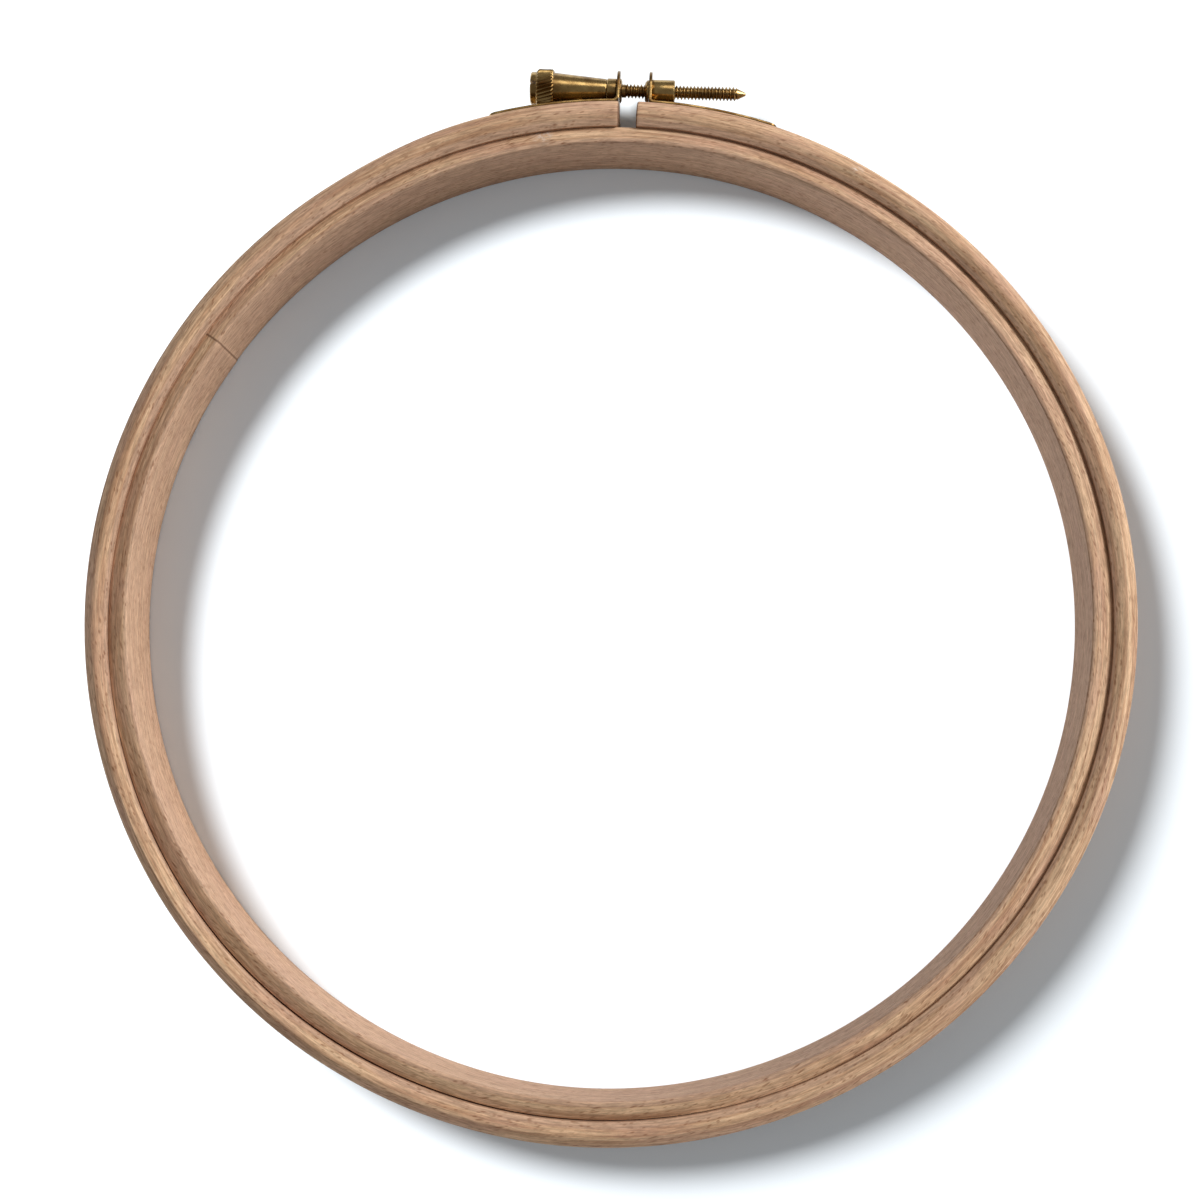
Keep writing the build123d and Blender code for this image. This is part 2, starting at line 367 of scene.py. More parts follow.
def new_material(name):
    """An empty material and its node tree; one of the same name is made afresh."""
    old = bpy.data.materials.get(name)
    if old:
        bpy.data.materials.remove(old)
    material = bpy.data.materials.new(name)
    material.use_nodes = True
    material.node_tree.nodes.clear()
    return material, material.node_tree


def opaque(setting):
    return (*setting, 1)


def per_metre(size):
    """How often features of this size in millimetres fit in a metre, along each axis."""
    return tuple(1000 / part for part in size)


def mottle(tree, where, size, detail, roughness=0.5, distortion=0.0):
    """An uneven pattern with features of this size in millimetres along each axis of where."""
    stretched = add_node(tree, "VectorMath", (where, per_metre(size)), operation="MULTIPLY")
    return add_node(
        tree, "TexNoise",
        {"Vector": stretched, "Scale": 1, "Detail": detail, "Roughness": roughness, "Distortion": distortion},
    )


def ray_dashes(tree, strip, size, common, patches):
    """Slightly slanted dashes of this length, thickness and width in millimetres, where patches is high.
    common is the share of places that have one."""
    slanted = add_node(tree, "Mapping", {"Vector": strip, "Rotation": (0, 0.2, 0.22)})
    cells = add_node(tree, "VectorMath", (slanted, per_metre(size)), operation="MULTIPLY")
    cell = add_node(tree, "TexVoronoi", {"Vector": cells, "Scale": 1}, feature="F1").outputs
    chance = add_node(tree, "SeparateColor", (cell["Color"],))
    dash = add_node(tree, "MapRange", (cell["Distance"], 0.45, 0.15), **SMOOTH)
    chosen = add_node(tree, "MapRange", (chance, 1 - common, 1.1 - common), **SMOOTH)
    drawn = add_node(tree, "Math", (dash, chosen), operation="MULTIPLY")
    return add_node(tree, "Math", (drawn, patches), operation="MULTIPLY")


def steamed_beech(name, inside_radius, mid_radius, joint, end, scuff, look):
    """Steamed beech, bent along its grain and sanded by hand: soft bands and fine fibres run round the ring,
    with short dark ray flecks, a faint pink cast and a dull satin that has no clear highlight.

    joint is where the grain starts and ends, in radians from +X, and end how far from there the wood stops
    and its end grain shows dark. scuff is a (place, radius) of chalky rubbing."""
    material, tree = new_material(name)
    where = add_node(tree, "TexCoord").outputs["Object"]
    # turned so that the strip's ends meet where the arctangent jumps, on -X
    turned_round = add_node(tree, "Mapping", {"Vector": where, "Rotation": (0, 0, math.pi - joint)})
    axes = add_node(tree, "SeparateXYZ", (turned_round,)).outputs
    around = add_node(tree, "Math", (axes["Y"], axes["X"]), operation="ARCTAN2")
    along = add_node(tree, "Math", (around, mid_radius), operation="MULTIPLY")
    flat = add_node(tree, "VectorMath", (where, (1, 1, 0)), operation="MULTIPLY")
    out = add_node(tree, "VectorMath", (flat,), operation="LENGTH")
    # the unbent strip: along the grain, through its thickness, across its width
    strip = add_node(tree, "CombineXYZ", (along, out, axes["Z"]))

    late_wood = mottle(tree, strip, (26, 0.8, 1.1), 4, roughness=0.6, distortion=0.5)
    bands = add_node(tree, "MapRange", (late_wood, 0.32, 0.7), **SMOOTH)
    cast = mottle(tree, strip, (18, 4, 6), 2)
    rose = add_node(tree, "MapRange", (cast, 0.42, 0.7, 0, 0.4), **SMOOTH)
    # the strip's flat inside face is paler and pinker than its edges, which cut through the growth rings
    face_ends, face_starts = inside_radius + mm(0.6), inside_radius + mm(0.2)
    face = add_node(tree, "MapRange", (out, face_ends, face_starts, 0, 0.65), **SMOOTH)

    fibres = mottle(tree, strip, (3.2, 0.32, 0.34), 5, roughness=0.75)
    shade = add_node(tree, "MapRange", (fibres, 0.34, 0.66, 0.7, 1.2), **SMOOTH)
    shades = add_node(tree, "CombineColor", (shade, shade, shade))
    tick_patches = add_node(tree, "MapRange", (mottle(tree, strip, (8, 1.6, 2.4), 2), 0.35, 0.5), **SMOOTH)
    ticks = ray_dashes(tree, strip, (1.9, 0.45, 0.45), 0.5, tick_patches)
    ray_patches = add_node(tree, "MapRange", (mottle(tree, strip, (16, 2.5, 3.5), 1), 0.45, 0.58), **SMOOTH)
    rays = ray_dashes(tree, strip, (3.4, 0.6, 0.6), 0.4, ray_patches)
    fleck_depth = 0.55
    faint_ticks = add_node(tree, "Math", (ticks, fleck_depth), operation="MULTIPLY")
    faint_rays = add_node(tree, "Math", (rays, fleck_depth), operation="MULTIPLY")

    from_middle = add_node(tree, "Math", (along,), operation="ABSOLUTE")
    wood_ends = math.pi * mid_radius - end
    dark_starts, dark_full = wood_ends - mm(0.35), wood_ends - mm(0.05)
    end_grain = add_node(tree, "MapRange", (from_middle, dark_starts, dark_full, 0, 0.75), **SMOOTH)
    scuff_middle, scuff_radius = scuff
    off = add_node(tree, "VectorMath", (where, scuff_middle), operation="DISTANCE")
    rubbed = add_node(tree, "MapRange", (off, scuff_radius, scuff_radius * 0.2, 0, 0.7), **SMOOTH)
    broken = mottle(tree, strip, (1.2, 0.6, 0.6), 4, roughness=0.7)
    crumbs = add_node(tree, "MapRange", (broken, 0.42, 0.7), **SMOOTH)
    chalk = add_node(tree, "Math", (rubbed, crumbs), operation="MULTIPLY")

    tone = opaque(look.beech_dark)
    for cover, layer, way in (
        (bands, opaque(look.beech_light), "MIX"),
        (rose, opaque(look.beech_rose), "MIX"),
        (face, opaque(look.beech_face), "MIX"),
        (1.0, shades, "MULTIPLY"),
        (faint_ticks, opaque(look.fleck), "MIX"),
        (faint_rays, opaque(look.fleck), "MIX"),
        (end_grain, opaque(look.end_grain), "MIX"),
        (chalk, opaque(look.chalk), "MIX"),
    ):
        colours = {"Factor": cover, "A": tone, "B": layer}
        tone = add_node(tree, "Mix", colours, data_type="RGBA", blend_type=way)

    height = add_node(tree, "Math", (fibres, rays), operation="SUBTRACT")
    relief = add_node(tree, "Bump", {"Height": height, "Strength": 0.6, "Distance": mm(0.04)})
    rough = add_node(tree, "MapRange", (fibres, 0.3, 0.7, 0.75, 0.6), **SMOOTH)
    surface = add_node(
        tree, "BsdfPrincipled",
        {"Base Color": tone, "Roughness": rough, "IOR": 1.5, "Specular IOR Level": 0.3, "Normal": relief},
    )
    add_node(tree, "OutputMaterial", {"Surface": surface})
    return material


def worn_brass(name, look, lathe, tarnished):
    """Old brass, cut on a lathe or rolled and sheared: warm gold, brown in uneven patches and with dark
    stains, with the tool's fine lines that break its highlights up.

    lathe is true for turned pieces, whose lines run round X. tarnished is from 0, bright, to 1, brown."""
    material, tree = new_material(name)
    where = add_node(tree, "TexCoord").outputs["Object"]
    film = mottle(tree, where, (3.5, 3.5, 3.5), 3)
    spots = mottle(tree, where, (0.9, 0.9, 0.9), 3)
    lines = mottle(tree, where, (0.09, 9, 9) if lathe else (3, 3, 0.12), 3, roughness=0.7)
    half_brown, fade = 0.75 - 0.5 * tarnished, 0.3
    browned = add_node(tree, "MapRange", (film, half_brown - fade, half_brown + fade), **SMOOTH)
    stained = add_node(tree, "MapRange", (spots, 0.6, 0.75, 0, 0.45), **SMOOTH)
    tone = opaque(look.brass)
    for cover, layer in ((browned, look.tarnish), (stained, look.stain)):
        tone = add_node(tree, "Mix", {"Factor": cover, "A": tone, "B": opaque(layer)}, data_type="RGBA")
    rough = add_node(tree, "MapRange", (film, 0.35, 0.7, 0.22, 0.34), **SMOOTH)
    relief = add_node(tree, "Bump", {"Height": lines, "Strength": 0.5, "Distance": mm(0.012)})
    surface = add_node(
        tree, "BsdfPrincipled", {"Base Color": tone, "Roughness": rough, "Metallic": 1.0, "Normal": relief}
    )
    add_node(tree, "OutputMaterial", {"Surface": surface})
    return material


def turned_brass(look):
    made = bpy.data.materials.get("brass_turned")
    return made or worn_brass("brass_turned", look, lathe=True, tarnished=0.55)


def sheet_brass(look):
    made = bpy.data.materials.get("brass_sheet")
    # browner than the turned pieces: partly the sheet's own tarnish, and partly painted shade for the plates,
    # which lie in shade under the screw
    return made or worn_brass("brass_sheet", look, lathe=False, tarnished=0.7)


# The wooden rings


# How steep the inside and the outside slopes are: one of 1 is as deep as it is wide
OUTER_STEEPNESS = (0.38, 1)
INNER_STEEPNESS = (1, 0.5)
SLOPE_PROFILE = 0.3  # between a flat slope and a round one

# Where the strips leave the true circle: each place's middle, clockwise from the slot, and its reach to each
# side, in degrees
LOWER_LEFT_BULGE, RIGHT_BULGE, UPPER_LEFT_LEAN = (232, 60), (105, 50), (311, 55)
LOWER_LEFT_PLAY = (210, 75)
CALM_AT_SLOT = (0, 30)
TRUE_AT_SLOT, TRUE_FADE = 17, 18  # the brackets' plates sit on a true circle, and it fades out past them
SCARF = mm(14)  # length of the inner ring's glued joint
GLUE_LINE = mm(0.3)


def strip_section(bm, inside, thickness, low, high, widths, steepness, steps):
    """The outline of the strip's cross section, in the XZ plane. Its edges are sanded to slopes that are only
    slightly rounded, with a width and a steepness for the inside and the outside ones."""
    bmesh.ops.create_grid(bm, x_segments=1, y_segments=1, size=0.5)
    upright = Matrix.Rotation(math.radians(90), 4, "X") @ Matrix.Diagonal((thickness, high - low, 1, 1))
    middle = inside + thickness / 2
    place(bm, Matrix.Translation((middle, 0, (low + high) / 2)) @ upright)
    for width, fall, outside in zip(widths, steepness, (False, True)):
        corners = [vert for vert in bm.verts if (vert.co.x > middle) == outside]
        square = [vert for vert in corners if min(abs(vert.co.z - low), abs(vert.co.z - high)) < WELD]
        for vert in bevel(bm, square, width, steps, "VERTICES", SLOPE_PROFILE)["verts"]:
            end = high if vert.co.z > (low + high) / 2 else low
            vert.co.z = end + (vert.co.z - end) * fall
    bmesh.ops.delete(bm, geom=bm.faces, context="FACES_ONLY")
    walls = [edge for edge in bm.edges if edge.calc_length() > thickness]
    bmesh.ops.subdivide_edges(bm, edges=walls, cuts=7)


def clockwise(co):
    """How far a place lies clockwise from the slot, in radians."""
    return math.atan2(co.x, co.y) % TURN


def apart(around, middle):
    """Degrees between two places on the ring."""
    return math.degrees(abs((around - math.radians(middle) + math.pi) % TURN - math.pi))


def hump(around, middle, width):
    """Rises from 0 to 1 and back round a place on the ring, over this many degrees to each side."""
    return 0.5 + 0.5 * math.cos(min(apart(around, middle) / width, 1) * math.pi)


def face_bow(around, rings):
    """How far the faces next to the fabric bow outwards, in metres."""
    bulge = rings.bulge * (hump(around, *LOWER_LEFT_BULGE) + 0.6 * hump(around, *RIGHT_BULGE))
    return bulge - rings.lean * hump(around, *UPPER_LEFT_LEAN) - rings.inset


def out_of_round(around, rings):
    """What the rings lack of their largest radius, in metres."""
    return rings.ovality * (math.cos(2 * (around - rings.oval_turn)) - 1)


def move_out(vert, distance):
    """Moves a vertex away from the rings' axis."""
    flat = Vector((vert.co.x, vert.co.y, 0))
    vert.co += flat.normalized() * distance


def wander(around, waviness):
    """A slow unevenness round both rings, in metres, with none of it beside the slot."""
    uneven = noise.noise(Vector((2 * math.cos(around), 2 * math.sin(around), 3)))
    return waviness * (1 - hump(around, *CALM_AT_SLOT)) * uneven


def bend_strip(bm, start, turn, steps):
    """Spins the outline in bm anticlockwise from an angle, and gives the edges of the two open ends."""
    doublings = 4
    parts = 2**doublings
    place(bm, Matrix.Rotation(start, 4, "Z"))
    spin(bm, everything(bm), (0, 0, 1), turn / parts, math.ceil(steps / parts))
    double_up(bm, Matrix.Rotation(turn / parts, 4, "Z"), doublings)
    return [edge for edge in bm.edges if edge.is_boundary]


class HOOP_OT_outer_ring(bpy.types.Operator):
    """Bends the outer strip round the inner ring, open at the slot"""

    bl_idname = "hoop.outer_ring"
    bl_label = "Outer ring"

    def execute(self, context):
        rings, look = context.scene.hoop_rings, context.scene.hoop_finish
        radius = -ring_low.y
        inside = radius - rings.outer_strip
        middle = inside + rings.outer_strip / 2
        bm = bmesh.new()
        strip_section(
            bm, inside, rings.outer_strip, ring_low.z, ring_high.z,
            (rings.outer_inside_slope, rings.outer_outside_slope), OUTER_STEEPNESS, rings.slope_steps,
        )
        half_slot = math.asin(rings.slot / 2 / middle)
        ends = bend_strip(bm, TURN / 4 + half_slot, TURN - 2 * half_slot, rings.steps)
        sawn = bmesh.ops.holes_fill(bm, edges=ends, sides=0)["faces"]
        bevel(bm, [edge for face in sawn for edge in face.edges], rings.sawn_easing, segments=3)
        for vert in bm.verts:
            around = clockwise(vert.co)
            outside = (vert.co.xy.length - inside) / rings.outer_strip
            true = outside * (1 - smooth_step((apart(around, 0) - TRUE_AT_SLOT) / TRUE_FADE))
            uneven = wander(around, rings.waviness) + out_of_round(around, rings)
            move_out(vert, uneven * (1 - true) + face_bow(around, rings) * (1 - outside))
        scuff = ((mm(44.9), mm(87.5), mm(8)), mm(1.9))
        wood = steamed_beech("beech_outer_strip", inside, middle, TURN / 4, rings.slot / 2, scuff, look)
        finish_piece("outer_strip", bm, wood, "outer_ring", "outer_ring")
        return {"FINISHED"}


class HOOP_OT_inner_ring(bpy.types.Operator):
    """Bends the inner strip into a closed ring, glued at a scarf joint"""

    bl_idname = "hoop.inner_ring"
    bl_label = "Inner ring"

    def execute(self, context):
        rings, look = context.scene.hoop_rings, context.scene.hoop_finish
        radius, crest = -inner_low.y, inner_high.z - rings.inner_drop
        inside = radius - rings.inner_strip
        gap = -ring_low.y - rings.outer_strip - radius
        middle = inside + rings.inner_strip / 2
        bm = bmesh.new()
        strip_section(
            bm, inside, rings.inner_strip, inner_low.z, crest,
            (rings.inner_inside_slope, rings.inner_outside_slope), INNER_STEEPNESS, rings.slope_steps,
        )
        joint = TURN / 4 - rings.joint
        crack = GLUE_LINE / inside
        ends = bend_strip(bm, joint + crack / 2, TURN - crack, rings.steps)
        bmesh.ops.bridge_loops(bm, edges=ends)
        for vert in bm.verts:
            around = clockwise(vert.co)
            outside = (vert.co.xy.length - inside) / rings.inner_strip
            closing = gap - rings.closed_gap - rings.play * hump(around, *LOWER_LEFT_PLAY)
            out = wander(around, rings.waviness) + out_of_round(around, rings) * (0.5 + 0.5 * outside)
            out += outside * (face_bow(around, rings) + closing)
            past = (rings.joint - around) * inside
            proud = rings.joint_step * smooth_step(1 - past / SCARF) * (past > 0)
            cup = rings.cup * (vert.co.z - inner_low.z) / (crest - inner_low.z)
            out -= (1 - outside) * (proud + cup)
            move_out(vert, out)
        scuff = ((mm(-16.3), mm(92.8), mm(8)), mm(3.2))
        wood = steamed_beech("beech_inner_strip", inside, middle, joint, 0, scuff, look)
        finish_piece("inner_strip", bm, wood, "inner_ring", "inner_ring")
        return {"FINISHED"}


# The brackets and their pins


def lug_outline(around, half_width, drop):
    """A point of the lug's outline, seen along X, for an angle round its hole: a half circle above and square
    corners below, in (across, up) from the hole's middle."""
    if math.sin(around) >= -WELD:
        return half_width * math.cos(around), half_width * math.sin(around)
    below = -math.degrees(math.asin(max(-1, math.sin(around))))
    side = math.copysign(1, math.cos(around))
    corner = 30  # degrees that go to the straight side
    if below < corner:
        return side * half_width, -drop * below / corner
    return side * half_width * (90 - below) / (90 - corner), -drop


def build_bracket(bm, lug_face, sizes):
    """The bracket on the +X side: a lug with a hole, a bend and a curved plate, from one sheet."""
    seat = -ring_low.y + sizes.plate_gap
    plate_top, back = seat + sizes.sheet, lug_face + sizes.sheet
    bend_x = back + sizes.bend
    bend_y = math.sqrt((plate_top + sizes.bend) ** 2 - bend_x**2)
    lean = math.atan2(bend_x, bend_y)
    half_lug, half_plate, drop = sizes.lug_width / 2, sizes.plate_width / 2, screw_height - bend_y

    # the lug's back face, extruded outwards from the rim of its hole
    bmesh.ops.create_circle(bm, segments=48, radius=sizes.hole)
    outer = made(bmesh.ops.extrude_edge_only(bm, edges=bm.edges))
    for vert in outer:
        vert.co.x, vert.co.y = lug_outline(math.atan2(vert.co.y, vert.co.x), half_lug, drop)
    bottom = sorted((vert for vert in outer if vert.co.y < -drop + WELD), key=lambda vert: vert.co.x)
    for corner, across in ((bottom[0], -half_plate), (bottom[-1], half_plate)):
        wing = made(bmesh.ops.extrude_vert_indiv(bm, verts=[corner]), key="verts")[0]
        wing.co.x = across
        bottom.append(wing)
    stand = Matrix(((0, 0, 1, back), (0, 1, 0, screw_height), (1, 0, 0, 0), (0, 0, 0, 1)))
    place(bm, stand)

    # the bend, then the plate as far as its corners, then the corners
    edge = [line for line in bm.edges if all(vert in bottom for vert in line.verts)]
    geom = spin(bm, bottom + edge, (0, 0, 1), TURN / 4 - lean, steps=8, centre=(bend_x, bend_y, 0))
    free_end, corner_turn = (back + sizes.plate) / seat, sizes.corner / seat
    geom = spin(bm, geom, (0, 0, 1), -(free_end - lean - corner_turn), steps=40)
    spin(bm, geom, (0, 0, 1), -corner_turn, steps=8)
    for vert in bm.verts:
        inset = sizes.corner - (free_end - math.atan2(vert.co.x, vert.co.y)) * seat
        if inset > 0 and vert.co.y < bend_y - sizes.bend:
            inset = min(inset, sizes.corner)
            narrower = sizes.corner - math.sqrt(sizes.corner**2 - inset**2)
            vert.co.z *= 1 - narrower / half_plate
    bmesh.ops.remove_doubles(bm, verts=bm.verts, dist=WELD)
    bmesh.ops.recalc_face_normals(bm, faces=bm.faces)
    towards_back = sum(face.normal.x for face in bm.faces if face.calc_center_median().y > bend_y)
    if towards_back < 0:
        bmesh.ops.reverse_faces(bm, faces=bm.faces)
    bmesh.ops.solidify(bm, geom=bm.faces, thickness=sizes.sheet)
    ease(bm, sizes.burr)


class HOOP_OT_brackets(bpy.types.Operator):
    """Bends the two brackets from sheet brass, one the mirror image of the other"""

    bl_idname = "hoop.brackets"
    bl_label = "Brackets"

    def execute(self, context):
        sizes, look = context.scene.hoop_brackets, context.scene.hoop_finish
        for side, lug_face, way in SIDES:
            bm = bmesh.new()
            build_bracket(bm, lug_face, sizes)
            place(bm, Matrix.Diagonal((way, 1, 1, 1)))
            name, node = f"{side}_bracket_sheet", f"{side}_bracket"
            finish_piece(name, bm, sheet_brass(look), "outer_ring", node)
        return {"FINISHED"}


class HOOP_OT_pins(bpy.types.Operator):
    """Turns the pins that nail each bracket to the wood"""

    bl_idname = "hoop.pins"
    bl_label = "Bracket pins"

    def execute(self, context):
        sizes, look = context.scene.hoop_brackets, context.scene.hoop_finish
        seat = -ring_low.y + sizes.plate_gap
        dome = [
            (sizes.pin_height * math.sin(TURN * step / 20), sizes.pin_head * math.cos(TURN * step / 20))
            for step in range(5)
        ]
        outline = [
            (-sizes.pin_length, 0),
            (-sizes.pin_length, sizes.pin_radius),
            (0, sizes.pin_radius),
            *dome,
            (sizes.pin_height, 0),
        ]
        for side, lug_face, way in SIDES:
            bm = bmesh.new()
            for distance in (sizes.pin_near, sizes.pin_far):
                pin = bmesh.new()
                turned(pin, outline, steps=24)
                turn = way * (lug_face + sizes.sheet + distance) / seat
                outwards = Matrix.Rotation(TURN / 4 - turn, 4, "Z")
                place(pin, outwards @ Matrix.Translation((seat + sizes.sheet, 0, 0)))
                add_copy(bm, pin)
            name, node = f"{side}_bracket_nails", f"{side}_bracket_pins"
            finish_piece(name, bm, turned_brass(look), "outer_ring", node)
        return {"FINISHED"}


# The turned pieces on the screw's axis


class HOOP_OT_bushes(bpy.types.Operator):
    """Turns the ferrule riveted in the left lug and the loose collar beside it"""

    bl_idname = "hoop.bushes"
    bl_label = "Ferrule and collar"

    def execute(self, context):
        sizes, look = context.scene.hoop_screw, context.scene.hoop_finish
        lip_radius = ferrule_high.z
        face = -left_lug_face
        ferrule = [
            (ferrule_low.x, sizes.bore),
            (ferrule_high.x, sizes.bore),
            (ferrule_high.x, (sizes.bore + lip_radius) / 2),
            ((ferrule_high.x + face) / 2, lip_radius),
            (face, lip_radius),
            (face, sizes.neck_rivet),
            (ferrule_low.x, sizes.neck_rivet),
        ]
        radius, chamfer = collar_high.z, sizes.chamfer
        collar = [
            (collar_low.x, sizes.bore),
            (collar_high.x, sizes.bore),
            (collar_high.x, radius - chamfer),
            (collar_high.x - chamfer, radius),
            (collar_low.x + chamfer, radius),
            (collar_low.x, radius - chamfer),
        ]
        for name, node, body, points in (
            ("ferrule_turned", "lug_ferrule", "outer_ring", ferrule),
            ("collar_turned", "thrust_collar", "thrust_collar", collar),
        ):
            bm = bmesh.new()
            turned(bm, points, sizes.steps)
            ease(bm, sizes.easing)
            place(bm, screw_axis)
            finish_piece(name, bm, turned_brass(look), body, node)
        return {"FINISHED"}


class HOOP_OT_nut(bpy.types.Operator):
    """Turns the barrel nut riveted in the right lug"""

    bl_idname = "hoop.nut"
    bl_label = "Barrel nut"

    def execute(self, context):
        sizes, look = context.scene.hoop_screw, context.scene.hoop_finish
        sheet = context.scene.hoop_brackets.sheet
        back, radius, chamfer = right_lug_face + sheet, nut_high.z, sizes.chamfer
        nut = [
            (nut_low.x, sizes.bore),
            (nut_high.x, sizes.bore),
            (nut_high.x, radius - chamfer),
            (nut_high.x - chamfer, radius),
            (back, radius),
            (back, sizes.neck_rivet),
            (right_lug_face, sizes.neck_rivet),
            (right_lug_face, sizes.nut_lip),
            ((right_lug_face + nut_low.x) / 2, sizes.nut_lip),
            (nut_low.x, sizes.nut_lip_end),
        ]
        bm = bmesh.new()
        turned(bm, nut, sizes.steps)
        ease(bm, sizes.easing)
        place(bm, screw_axis)
        finish_piece("nut_turned", bm, turned_brass(look), "outer_ring", "barrel_nut")
        return {"FINISHED"}


# One crest of the thread, as parts of the pitch and of the thread's depth
CREST = (
    (0, 0), (0.12, 0.04), (0.3, 0.55), (0.42, 0.95),
    (0.5, 1), (0.58, 0.95), (0.7, 0.55), (0.88, 0.04), (1, 0),
)


def threaded_shank(bm, sizes, start, end):
    """A right-handed thread from one crest's outline, spun along X. The crests are cut away on the plain neck
    and on the point, and the shank closes at both ends."""
    root = sizes.thread - sizes.thread_depth
    verts = [
        bm.verts.new((start - sizes.pitch + along * sizes.pitch, root + rise * sizes.thread_depth, 0))
        for along, rise in CREST
    ]
    edges = [bm.edges.new(pair) for pair in zip(verts, verts[1:])]
    turns, steps = math.ceil((end - start) / sizes.pitch) + 2, 28
    spin(bm, verts + edges, (1, 0, 0), TURN, steps, advance=(sizes.pitch / steps, 0, 0))
    double_up(bm, Matrix.Translation((sizes.pitch, 0, 0)), math.ceil(math.log2(turns)))
    point = end - sizes.point
    for vert in bm.verts:
        radius = vert.co.yz.length
        along = min(max(vert.co.x, start), end)
        limit = sizes.thread
        if along < -sizes.thread_start:
            radius = sizes.neck
        if along > point:
            limit = sizes.thread + (sizes.point_tip - sizes.thread) * (along - point) / sizes.point
        if not start < vert.co.x < end:
            limit = 0
        vert.co = Vector((along, *(vert.co.yz.normalized() * min(radius, limit))))
    bmesh.ops.remove_doubles(bm, verts=bm.verts, dist=WELD)


def knurled_band(bm, sizes, left, right):
    """Diagonal ridges round a band, bevelled at both ends."""
    samples, lengths = 6, 8  # verts for each ridge, and rows of faces between the bevels
    chamfer = sizes.knurl_chamfer
    rows = [left, left + chamfer / 2, left + chamfer]
    rows += [left + chamfer + (right - left - 2 * chamfer) * step / lengths for step in range(1, lengths)]
    rows += [right - chamfer, right - chamfer / 2, right]
    bmesh.ops.create_circle(bm, cap_ends=True, segments=samples * sizes.teeth, radius=sizes.knurl_radius)
    place(bm, Matrix.Translation((left, 0, 0)) @ Matrix.Rotation(TURN / 4, 4, "Y"))
    rim = list(bm.edges)
    for row, following in zip(rows, rows[1:]):
        result = bmesh.ops.extrude_edge_only(bm, edges=rim)
        verts = made(result)
        twist = math.tan(sizes.helix) * (following - row) / sizes.knurl_radius
        place(bm, Matrix.Translation((following - row, 0, 0)) @ Matrix.Rotation(twist, 4, "X"), verts)
        rim = [edge for edge in made(result, bmesh.types.BMEdge) if all(vert in verts for vert in edge.verts)]
    bmesh.ops.edgeloop_fill(bm, edges=rim)
    crest_flat, steepness = 0.1, 1.15
    for vert in bm.verts:
        twist = math.tan(sizes.helix) * (vert.co.x - left) / sizes.knurl_radius
        turn = (math.atan2(vert.co.z, vert.co.y) - twist) / TURN * sizes.teeth
        valley = 1 - abs(1 - 2 * (turn % 1))
        cut = min(1, max(0, steepness * valley - crest_flat)) * sizes.knurl_depth
        near_end = min(vert.co.x - left, right - vert.co.x, chamfer)
        radius = min(sizes.knurl_radius - cut, sizes.knurl_radius - chamfer + near_end)
        vert.co.y, vert.co.z = vert.co.yz.normalized() * radius


def half_disc(sizes, left, right, side):
    """One half of the end disc, on the side of the driver slot that +Y or -Y is."""
    radius, chamfer = sizes.disc, sizes.disc_chamfer
    bm = bmesh.new()
    outline = [
        (left, 0),
        (left, radius - chamfer),
        (left + 0.4 * chamfer, radius - 0.25 * chamfer),
        (left + chamfer, radius),
        (right, radius),
        (right, 0),
    ]
    turned(bm, outline, sizes.steps)
    cut = bmesh.ops.bisect_plane(
        bm, geom=everything(bm), dist=WELD, plane_co=(0, side * sizes.driver_slot / 2, 0),
        plane_no=(0, side, 0), clear_inner=True,
    )
    bmesh.ops.holes_fill(bm, edges=made(cut, bmesh.types.BMEdge, "geom_cut"), sides=0)
    return bm


class HOOP_OT_clamp_screw(bpy.types.Operator):
    """Turns, knurls, slots and threads the clamp screw"""

    bl_idname = "hoop.clamp_screw"
    bl_label = "Clamp screw"

    def execute(self, context):
        sizes, look = context.scene.hoop_screw, context.scene.hoop_finish
        shoulder = collar_low.x - sizes.end_play
        taper_left = shoulder - sizes.taper
        knurl_left = taper_left - sizes.knurl
        overlap, disc_overlap = mm(0.5), mm(0.2)  # how far the lengths run into each other
        marks, noise_step = 70, 0.83
        outline = []
        for step in range(marks + 1):
            along = step / marks
            radius = sizes.taper_large + (sizes.taper_small - sizes.taper_large) * along
            mark = noise.noise(Vector((step * noise_step, 0.5, 0))) * sizes.lathe_marks
            outline.append((taper_left + sizes.taper * along, radius + mark))
        bevelled = mm(0.08)
        outline[-1] = (shoulder - bevelled, sizes.taper_small)
        outline += [(shoulder, sizes.taper_small - bevelled), (shoulder, 0)]
        closed_end = [(taper_left - overlap, 0), (taper_left - overlap, sizes.taper_large)]
        bm = bmesh.new()
        turned(bm, closed_end + outline, sizes.steps)
        band, shank = bmesh.new(), bmesh.new()
        knurled_band(band, sizes, knurl_left, taper_left)
        add_copy(bm, band)
        threaded_shank(shank, sizes, shoulder - overlap, screw_high.x)
        add_copy(bm, shank)
        for side in (1, -1):
            add_copy(bm, half_disc(sizes, screw_low.x, knurl_left + disc_overlap, side))
        place(bm, screw_axis)
        brass = turned_brass(look)
        finish_piece("clamp_screw_turned", bm, brass, "clamp_screw", "clamp_screw", sharp=50)
        return {"FINISHED"}


# The stage


SCREW_SIDE = (0.1, 0.99, 0)
ROOM_TINT = (0.98, 0.985, 0.98)


def add_lamp(data, shines_on):
    """A lamp that lights only these objects."""
    lamp = bpy.data.objects.new(data.name, data)
    bpy.context.scene.collection.objects.link(lamp)
    lit = bpy.data.collections.new(data.name + "_receivers")
    for item in shines_on:
        lit.objects.link(item)
    lamp.light_linking.receiver_collection = lit
    return lamp


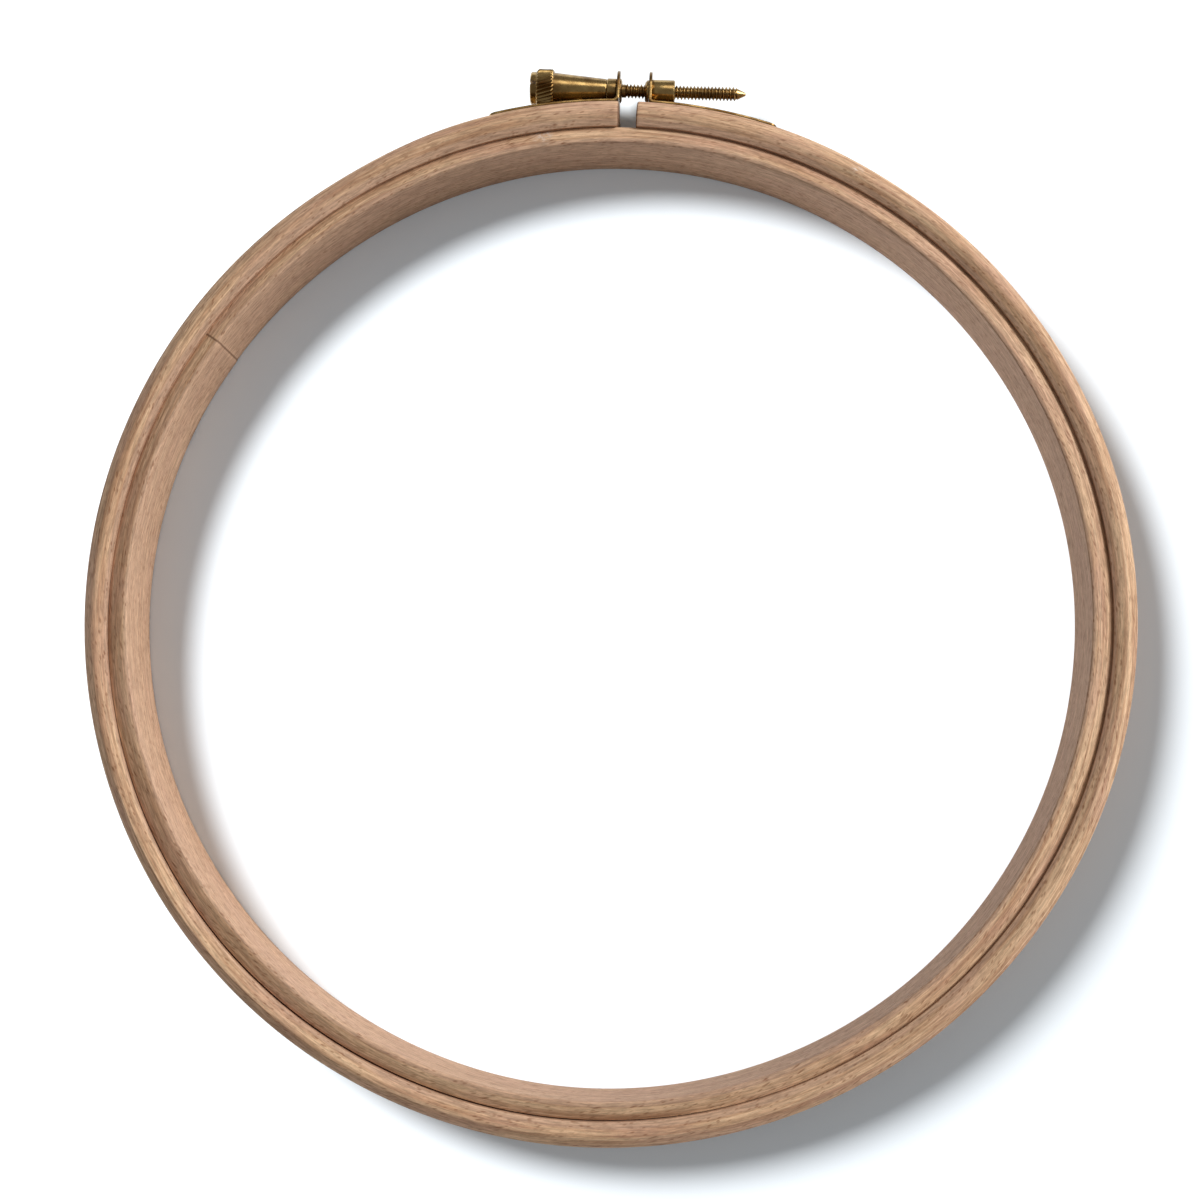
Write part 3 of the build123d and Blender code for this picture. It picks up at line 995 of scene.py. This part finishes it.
def add_sun(name, power, shines_on, spread, direction, tint=(1, 1, 1)):
    """A soft sun, spread degrees across, that shines from this direction."""
    data = bpy.data.lights.new(name, "SUN")
    data.energy, data.angle, data.color = power, math.radians(spread), tint
    lamp = add_lamp(data, shines_on)
    lamp.rotation_mode = "QUATERNION"
    lamp.rotation_quaternion = Vector(direction).to_track_quat("Z", "Y")


def sky(world, stage):
    """A plain room that is slightly lighter on the screw's side."""
    world.use_nodes = True
    tree = world.node_tree
    tree.nodes.clear()
    direction = add_node(tree, "TexCoord").outputs["Generated"]
    back = add_node(tree, "VectorMath", (direction, SCREW_SIDE), operation="DOT_PRODUCT")
    room = add_node(tree, "MapRange", (back, -0.7, 0.7, stage.sky_front, stage.sky_back), **SMOOTH)
    light = add_node(tree, "Background", {"Color": opaque(ROOM_TINT), "Strength": room})
    add_node(tree, "OutputWorld", {"Surface": light})


def matt_paper(stage):
    """Matt white paper. The camera and reflections see its full colour, and it lights the hoop with less."""
    material, tree = new_material("paper_matt_white")
    ray = add_node(tree, "LightPath").outputs
    seen = ray["Is Camera Ray"]
    for kind in ("Is Glossy Ray", "Is Transmission Ray"):
        seen = add_node(tree, "Math", (seen, ray[kind]), operation="MAXIMUM")
    colours = {"Factor": seen, "A": opaque(stage.floor_bounce), "B": opaque(stage.floor)}
    tone = add_node(tree, "Mix", colours, data_type="RGBA")
    surface = add_node(
        tree, "BsdfPrincipled", {"Base Color": tone, "Roughness": 0.9, "Specular IOR Level": 0.0}
    )
    add_node(tree, "OutputMaterial", {"Surface": surface})
    return material


class HOOP_OT_stage(bpy.types.Operator):
    """Lays the paper floor, and sets the lights and the camera"""

    bl_idname = "hoop.stage"
    bl_label = "Stage"

    def execute(self, context):
        scene, stage = context.scene, context.scene.hoop_stage
        bm = bmesh.new()
        bmesh.ops.create_circle(bm, cap_ends=True, segments=96, radius=stage.floor_radius)
        place(bm, Matrix.Translation((0, 0, ring_low.z)))
        mesh = bpy.data.meshes.new("paper_floor")
        bm.to_mesh(mesh)
        bm.free()
        mesh.materials.append(matt_paper(stage))
        floor = bpy.data.objects.new("paper_floor", mesh)
        scene.collection.objects.link(floor)

        pieces = [item for item in scene.objects if item.type == "MESH" and item != floor]
        brass = [item for item in pieces if item.name not in ("outer_strip", "inner_strip")]
        add_sun("key_light", stage.key, pieces, spread=35, direction=(0.83, 0.5, 0.63), tint=(0.95, 0.98, 1))
        add_sun("soft_box", stage.soft_box, brass, spread=24, direction=(0.1, 0.52, 0.84))
        add_sun(
            "shadow_fill", stage.shadow_fill, [floor],
            spread=60, direction=(0.2, -0.9, 0.7), tint=(0.72, 0.88, 1),
        )
        near = bpy.data.lights.new("shadow_light", "POINT")
        near.energy, near.shadow_soft_size = stage.shadow, stage.shadow_radius
        add_lamp(near, [floor]).location = stage.shadow_place
        scene.world = scene.world or bpy.data.worlds.new("studio")
        sky(scene.world, stage)

        camera = bpy.data.cameras.new("camera")
        camera.lens, camera.sensor_width = stage.lens, 36
        camera.clip_start, camera.clip_end = 0.01, 50
        holder = bpy.data.objects.new("camera", camera)
        holder.location = stage.camera
        holder.rotation_euler = stage.camera_turn
        scene.collection.objects.link(holder)
        scene.camera = holder
        scene.view_settings.view_transform = "Standard"
        return {"FINISHED"}


# The panel


SETTINGS = {
    "hoop_rings": HoopRings,
    "hoop_brackets": HoopBrackets,
    "hoop_screw": HoopScrew,
    "hoop_finish": HoopFinish,
    "hoop_stage": HoopStage,
}
OPERATORS = (
    HOOP_OT_outer_ring,
    HOOP_OT_inner_ring,
    HOOP_OT_brackets,
    HOOP_OT_pins,
    HOOP_OT_bushes,
    HOOP_OT_nut,
    HOOP_OT_clamp_screw,
    HOOP_OT_stage,
)


class HOOP_PT_pieces(bpy.types.Panel):
    """Lists the hoop's pieces in the sidebar"""

    bl_idname = "HOOP_PT_pieces"
    bl_label = "Embroidery hoop"
    bl_space_type = "VIEW_3D"
    bl_region_type = "UI"
    bl_category = "Hoop"

    def draw(self, context):
        for operator in OPERATORS:
            self.layout.operator(operator.bl_idname)


CLASSES = (*SETTINGS.values(), *OPERATORS, HOOP_PT_pieces)


def register():
    for item in CLASSES:
        bpy.utils.register_class(item)
    for name, group in SETTINGS.items():
        setattr(bpy.types.Scene, name, bpy.props.PointerProperty(type=group))


def unregister():
    for name in SETTINGS:
        delattr(bpy.types.Scene, name)
    for item in reversed(CLASSES):
        bpy.utils.unregister_class(item)


def main():
    register()
    for operator in OPERATORS:
        group, name = operator.bl_idname.split(".")
        getattr(getattr(bpy.ops, group), name)()


if __name__ == "__main__":
    main()
